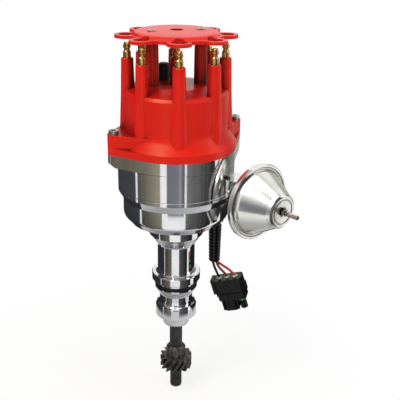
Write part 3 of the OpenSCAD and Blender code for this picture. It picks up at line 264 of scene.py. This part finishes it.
# Lower bushing: bronze powder pressed and sintered, so it is dull and finely speckled with pores.
# It is pressed into the housing and carries the shaft.
bronze = new_finish("sintered_bronze", "#A88155", roughness=0.42, metallic=1.0)
mottled(bronze, "#8A6640", "#B98F60", patch_mm=1.2)
moulded_skin(bronze, grain_mm=0.5, depth_mm=0.06, soft_edge_mm=0.2)
give(bronze, "lower_bushing")

# Bearing, sleeve, toothed reluctor and pickup plate: ground steel, bright grey with fine rings,
# all of them round the shaft's axis.
ground = new_finish("ground_bearing_steel", "#B9BABC", roughness=0.24, metallic=1.0)
mottled(ground, "#AEAFB2", "#C2C3C4", patch_mm=8)
# painted shade: darker in grooves and between close walls
painted_corner_shade(ground, "#3A3A3B", reach_mm=2, closed=0.3, clear=0.7)
lathe_lines(ground, line_mm=0.9, depth_mm=0.02, rough_low=0.18, rough_high=0.32)
give(ground, "upper_bearing", "advance_sleeve", "reluctor", "pickup_plate")

# Retaining rings, clip and springs: hard drawn wire, slightly brown where it was tempered. The
# rings and the clip sit in grooves, and the springs hook over pins or press against their seats.
wire_steel = new_finish("tempered_spring_wire", "#A2A09C", roughness=0.3, metallic=1.0)
mottled(wire_steel, "#8E8A82", "#AEAEAC", patch_mm=2.5)
moulded_skin(wire_steel, grain_mm=0.6, depth_mm=0.03, soft_edge_mm=0.1)
give(wire_steel, "bearing_ring", "plate_ring", "cam_clip", "spring_a", "spring_b", "return_spring",
    "button_spring")

# Main shaft: steel with a black oxide film that leaves a dark oily gloss. It runs through the
# whole housing, from the cam plate on its stub down to the gear and past it.
oxide = new_finish("black_oxide_steel", "#434345", roughness=0.34, metallic=0.75)
mottled(oxide, "#3A3A3C", "#4E4E50", patch_mm=4)
lathe_lines(oxide, line_mm=1.1, depth_mm=0.02, rough_low=0.24, rough_high=0.4)
give(oxide, "main_shaft")

# Drive gear: cast iron, hobbed and phosphated to a rough dark grey, with painted shade between its
# teeth. A pin holds it on the shaft.
iron = new_finish("phosphated_iron", "#454341", roughness=0.48, metallic=0.65)
mottled(iron, "#3E3B38", "#686460", patch_mm=2.5)
painted_corner_shade(iron, "#161514", reach_mm=4, closed=0.3, clear=0.75)
moulded_skin(iron, grain_mm=0.9, depth_mm=0.12, soft_edge_mm=0.3)
give(iron, "drive_gear")

# Advance plate: stamped steel in yellow chromate, whose thin film drifts from gold to rose. It
# turns with the rotor's sleeve and carries the pins of the two weights.
chromate = new_finish("yellow_chromate_steel", "#C0A156", roughness=0.28, metallic=1.0)
mottled(chromate, "#B9935E", "#C9B25C", patch_mm=7)
moulded_skin(chromate, grain_mm=1.0, depth_mm=0.03, soft_edge_mm=0.15)
give(chromate, "advance_plate")

# Screws, pins, cam plate, weights, vacuum link and diaphragm plate: bright zinc on steel, with a
# cool satin grain, and painted shade that darkens the recesses.
zinc = new_finish("zinc_plated_steel", "#BDBDB8", roughness=0.26, metallic=1.0)
mottled(zinc, "#B2B3B2", "#C8C8C2", patch_mm=3)
painted_corner_shade(zinc, "#33332F", reach_mm=1.5, closed=0.3, clear=0.7)
moulded_skin(zinc, grain_mm=1.2, depth_mm=0.03, soft_edge_mm=0.15)
give(zinc, "cap_screws", "retainer_screws", "rotor_screws", "module_screws", "canister_screws",
    "gear_pin", "cam_plate", "weight_a", "weight_b", "link_pin", "vacuum_link", "diaphragm_plate")

# Pickup coil: enamelled copper wire under blue varnish, whose turns show as fine level lines. It
# stands on the pickup plate beside the reluctor.
half_turn = 0.0002
varnish = new_finish("blue_varnished_coil", "#1D3A74", roughness=0.3, Coat_Weight=0.5,
    Coat_Roughness=0.15)
mottled(varnish, "#162D5E", "#25478A", patch_mm=3)
up = add_node(varnish.tree, "ShaderNodeSeparateXYZ", None, Vector=varnish.place)
turns = add_node(varnish.tree, "ShaderNodeMath", {"operation": "PINGPONG"}, n0=up.outputs["Z"],
    n1=half_turn)
wound = add_node(varnish.tree, "ShaderNodeBump", None, Height=turns.outputs[0], Strength=0.8,
    Distance=1.0)
varnish.tree.links.new(wound.outputs["Normal"], varnish.shader.inputs["Normal"])
give(varnish, "pickup_coil")

# Ignition module: potted in black epoxy, with a slightly wavy cast face. Three screws hold it to
# the floor of the drum.
epoxy = new_finish("cast_black_epoxy", "#141417", roughness=0.4)
mottled(epoxy, "#101012", "#1A1A1D", patch_mm=9)
moulded_skin(epoxy, grain_mm=3, depth_mm=0.1, soft_edge_mm=0.4)
give(epoxy, "ignition_module")

# Coil button: a pressed carbon rod, matt grey-black with a graphite sheen. It slides in the cap's
# centre with its spring behind it.
carbon = new_finish("pressed_carbon", "#232325", roughness=0.5, Specular_IOR_Level=0.7)
mottled(carbon, "#1B1B1D", "#2E2E30", patch_mm=0.8)
moulded_skin(carbon, grain_mm=0.4, depth_mm=0.05, soft_edge_mm=0.15)
give(carbon, "coil_button")

# Vacuum canister: two shells pressed from sheet steel, rolled together at the rim and bright
# plated. The rolled rim and the steps of the face hold dark lines of painted shade.
plated = new_finish("bright_plated_steel", "#E8E7E1", roughness=0.2, metallic=1.0)
mottled(plated, "#E2E1DA", "#EFEEEA", patch_mm=12)
painted_corner_shade(plated, "#161615", reach_mm=4.5, closed=0.55, clear=0.86)
moulded_skin(plated, grain_mm=6, depth_mm=0.03, soft_edge_mm=0.2)
give(plated, "canister_cup", "canister_bell")

# Cap, rotor and wire retainer: glass-filled polyester moulded in a clear warm red. Painted shade
# turns the corners between the towers and the posts under the retainer's plate a deep maroon.
red = new_finish("moulded_red_polyester", "#D11A12", roughness=0.32, Specular_IOR_Level=0.5,
    Specular_Tint=linear("#FFCFA6"))
mottled(red, "#CE0F0C", "#DA150F", patch_mm=40)
painted_corner_shade(red, "#3E050A", reach_mm=32, closed=0.4, clear=0.84)
moulded_skin(red, grain_mm=1.6, depth_mm=0.05, soft_edge_mm=0.5)
give(red, "cap", "wire_retainer", "rotor")

# Terminals and rotor blade: turned brass under a thin lacquer, with painted shade in the necks.
# The terminals are moulded into the towers, and two screws hold the blade to the rotor.
brass = new_finish("turned_brass", "#C9A05A", roughness=0.18, metallic=1.0)
mottled(brass, "#BE9450", "#D6AF6A", patch_mm=2)
painted_corner_shade(brass, "#4A3516", reach_mm=2.5, closed=0.3, clear=0.75)
moulded_skin(brass, grain_mm=0.8, depth_mm=0.03, soft_edge_mm=0.15)
give(brass, "spark_terminals", "coil_terminal", "rotor_blade")

# Conduit: a ribbed polyethylene tube, glossy black, pushed over the grommet and pressed narrower
# towards its mouth.
tube = new_finish("ribbed_polyethylene", "#08080A", roughness=0.2, Specular_IOR_Level=0.35)
mottled(tube, "#060607", "#0D0D0E", patch_mm=4)
moulded_skin(tube, grain_mm=1.0, depth_mm=0.05, soft_edge_mm=0.3)
give(tube, "lead_conduit")

# Plug and its lock: glass-filled nylon, glossy black, with a slow waviness that breaks up its
# reflections. The lock is hinged along the plug's left side.
nylon = new_finish("glass_filled_nylon", "#09090B", roughness=0.24, Specular_IOR_Level=0.25)
mottled(nylon, "#070708", "#0F0F11", patch_mm=3)
moulded_skin(nylon, grain_mm=3, depth_mm=0.25, soft_edge_mm=0.35)
give(nylon, "plug_body", "plug_lock")

# Wire seals and face seal: soft silicone, pale grey-green round the wires, where they enter the
# plug, and green at its face.
for name, dark, light, piece in [("pale_silicone", "#9AA88C", "#BCC8AE", "plug_wire_seals"),
        ("green_silicone", "#2F7A38", "#5AA55A", "plug_face_seals")]:
    silicone = new_finish(name, light, roughness=0.45, Subsurface_Weight=0.1,
        Subsurface_Scale=0.001)
    mottled(silicone, dark, light, patch_mm=3)
    moulded_skin(silicone, grain_mm=0.8, depth_mm=0.05, soft_edge_mm=0.2)
    give(silicone, piece)

# Studio: a white paper floor, three soft lamps, and cards in grey, olive and sage that stand out
# of view round the table. The cards reach nothing but the reflections, where they are the bands.
floor_z = cad_box[0].z - 0.0005
floor_half = 6
shadow_x, shadow_y = -0.03, 0.01
white = (1, 1, 1, 1)


def calc(tree, operation, *values):
    """The result of one sum on single values."""
    inputs = {f"n{i}": value for i, value in enumerate(values)}
    return add_node(tree, "ShaderNodeMath", {"operation": operation}, **inputs).outputs[0]


def add_stage(name, bm, material):
    """A board of the studio, made of the given mesh."""
    mesh = bpy.data.meshes.new(name)
    bm.to_mesh(mesh)
    bm.free()
    mesh.materials.append(material)
    board = bpy.data.objects.new(name, mesh)
    bpy.context.scene.collection.objects.link(board)
    return board


# the paper glows by itself, a little less round the foot, where it takes a soft shadow; glossy
# surfaces see it darker there, a painted shadow. Each glow grows to 1 between its two distances from
# the foot.
shadow_from, shadow_to, shadow_glow = 0.06, 0.26, 0.8
mirror_from, mirror_to, mirror_glow = 0.05, 0.3, 0.32
paper = blank_material("white_paper")
tree = paper.node_tree
seen = add_node(tree, "ShaderNodeLightPath")
spot = add_node(tree, "ShaderNodeTexCoord").outputs["Object"]
spot = add_node(tree, "ShaderNodeVectorMath", {"operation": "MULTIPLY_ADD"}, n0=spot, n1=(1, 1, 0),
    n2=(-shadow_x, -shadow_y, 0))
away = add_node(tree, "ShaderNodeVectorMath", {"operation": "LENGTH"}, n0=spot.outputs[0])
away = away.outputs["Value"]
matt = add_node(tree, "ShaderNodeBsdfDiffuse", None, Color=linear("#F4F4F4"))
plain = ramp(tree, away, shadow_from, shadow_to, shadow_glow, 1.0)
shared = calc(tree, "MULTIPLY", seen.outputs["Is Camera Ray"], plain)
share = calc(tree, "ADD", shared, seen.outputs["Is Glossy Ray"])
near = ramp(tree, away, mirror_from, mirror_to, mirror_glow, 1.0)
level = add_node(tree, "ShaderNodeMix", None, n0=seen.outputs["Is Glossy Ray"], n2=1.0, n3=near)
glow = add_node(tree, "ShaderNodeEmission", None, Strength=level.outputs[0])
both = add_node(tree, "ShaderNodeMixShader", None, Fac=share, n1=matt.outputs[0],
    n2=glow.outputs[0])
add_node(tree, "ShaderNodeOutputMaterial", None, Surface=both.outputs[0])
bm = bmesh.new()
bmesh.ops.create_grid(bm, x_segments=1, y_segments=1, size=floor_half)
bmesh.ops.translate(bm, verts=bm.verts, vec=(0, 0, floor_z))
add_stage("floor", bm, paper)

# the room is white with a duller ceiling; matt surfaces get less of its light than glossy ones
matt_light = 0.48
ceiling_from, ceiling_to = 0.78, 0.95
room = bpy.data.worlds.new("studio")
bpy.context.scene.world = room
room.use_nodes = True
tree = room.node_tree
tree.nodes.clear()
seen = add_node(tree, "ShaderNodeLightPath")
direct = calc(tree, "MAXIMUM", seen.outputs["Is Camera Ray"], seen.outputs["Is Glossy Ray"])
level = ramp(tree, direct, 0, 1, matt_light, 1.0)
up = add_node(tree, "ShaderNodeTexCoord").outputs["Generated"]
up = add_node(tree, "ShaderNodeSeparateXYZ", None, Vector=up)
overhead = ramp(tree, up.outputs["Z"], ceiling_from, ceiling_to, 0.0, 1.0)
ceiling = add_node(tree, "ShaderNodeMix", {"data_type": "RGBA"}, n0=overhead, n6=white,
    n7=linear("#CDD0C4"))
sky = add_node(tree, "ShaderNodeBackground", None, Color=ceiling.outputs[2], Strength=level)
add_node(tree, "ShaderNodeOutputWorld", None, Surface=sky.outputs[0])

# each card: name, from and to azimuth in degrees right of the camera, distance, foot and head
# above the flange, the shades at both ends, and whether it fades to white towards its head; all
# are darker at the foot and vary a little along their length, like cloth
table_ring = 0.17
tall, low_head, high_foot = 0.33, 0.2, 0.031
fade_height = 0.085
foot_height, foot_light = 0.05, 0.5
folds, fold_depth = 9.0, 0.5
cards = [
    ("left", -154, -73, table_ring, floor_z, tall, "#3A3C40", "#484A4E", False),
    ("olive", -69, -26, table_ring, floor_z, tall, "#504C43", "#A09987", False),
    ("front", -15.5, 4.6, table_ring, high_foot, low_head, "#74767E", "#80818A", True),
    ("front_edge", 4.6, 13.5, table_ring, high_foot, low_head, "#A9A7B2", "#47454B", True),
    ("right", 16.7, 68, table_ring, floor_z, tall, "#7A7876", "#1E1E1E", False),
    ("back", 96, 156, table_ring, floor_z, 0.028, "#2A2A29", "#3A3A38", False),
    ("sage", 104, 158, 0.6, floor_z, 0.4, "#6E7469", "#D6DACE", False),
]
for name, start, end, distance, foot_z, head_z, shade_a, shade_b, fades in cards:
    paint = blank_material(name + "_card")
    tree = paint.node_tree
    place = add_node(tree, "ShaderNodeTexCoord").outputs["Object"]
    spot = add_node(tree, "ShaderNodeSeparateXYZ", None, Vector=place)
    behind = calc(tree, "MULTIPLY", spot.outputs["Y"], -1.0)
    turn = calc(tree, "ARCTAN2", spot.outputs["X"], behind)
    cloth = add_node(tree, "ShaderNodeTexNoise", {"noise_dimensions": "1D"}, W=turn, Scale=folds,
        Detail=3.0)
    along = ramp(tree, turn, math.radians(start), math.radians(end), -fold_depth / 2,
        1 - fold_depth / 2)
    mixed = calc(tree, "MULTIPLY_ADD", cloth.outputs["Fac"], fold_depth, along)
    shade = add_node(tree, "ShaderNodeMix", {"data_type": "RGBA"}, n0=mixed, n6=linear(shade_a),
        n7=linear(shade_b))
    lift = ramp(tree, spot.outputs["Z"], 0.0, foot_height, foot_light, 1.0)
    if fades:
        fade = ramp(tree, spot.outputs["Z"], head_z - fade_height, head_z, 0.0, 1.0)
        shade = add_node(tree, "ShaderNodeMix", {"data_type": "RGBA"}, n0=fade,
            n6=shade.outputs[2], n7=white)
    glow = add_node(tree, "ShaderNodeEmission", None, Color=shade.outputs[2], Strength=lift)
    add_node(tree, "ShaderNodeOutputMaterial", None, Surface=glow.outputs[0])
    bm = bmesh.new()
    first = math.radians(start)
    foot = bm.verts.new((distance * math.sin(first), -distance * math.cos(first), foot_z))
    head = bm.verts.new((foot.co.x, foot.co.y, head_z))
    side = bm.edges.new((foot, head))
    bmesh.ops.spin(bm, geom=[foot, head, side], cent=(0, 0, 0), axis=(0, 0, 1),
        angle=math.radians(end - start), steps=16, use_merge=False)
    card = add_stage("card_" + name, bm, paint)
    card.visible_camera = False
    card.visible_diffuse = False
    card.visible_shadow = False
    card.visible_transmission = False

# each lamp: name, place, size, watts and tint; all face the housing's neck
aim = Vector((0, 0, 0.05))
lamps = [
    ("lamp_key", (-0.8, -0.75, 1.6), 0.9, 22, (1, 0.94, 0.86)),
    ("lamp_top", (0.25, -0.15, 1.7), 1.0, 3.5, (1, 0.97, 0.93)),
    ("lamp_side", (1.3, -0.5, 0.75), 0.8, 6, (1, 0.95, 0.9)),
]
for name, lamp_place, size, power, tint in lamps:
    lamp = bpy.data.lights.new(name, "AREA")
    lamp.size = size
    lamp.energy = power
    lamp.color = tint
    lamp_object = bpy.data.objects.new(name, lamp)
    bpy.context.scene.collection.objects.link(lamp_object)
    lamp_object.location = lamp_place
    lamp_object.rotation_euler = (aim - Vector(lamp_place)).to_track_quat("-Z", "Y").to_euler()
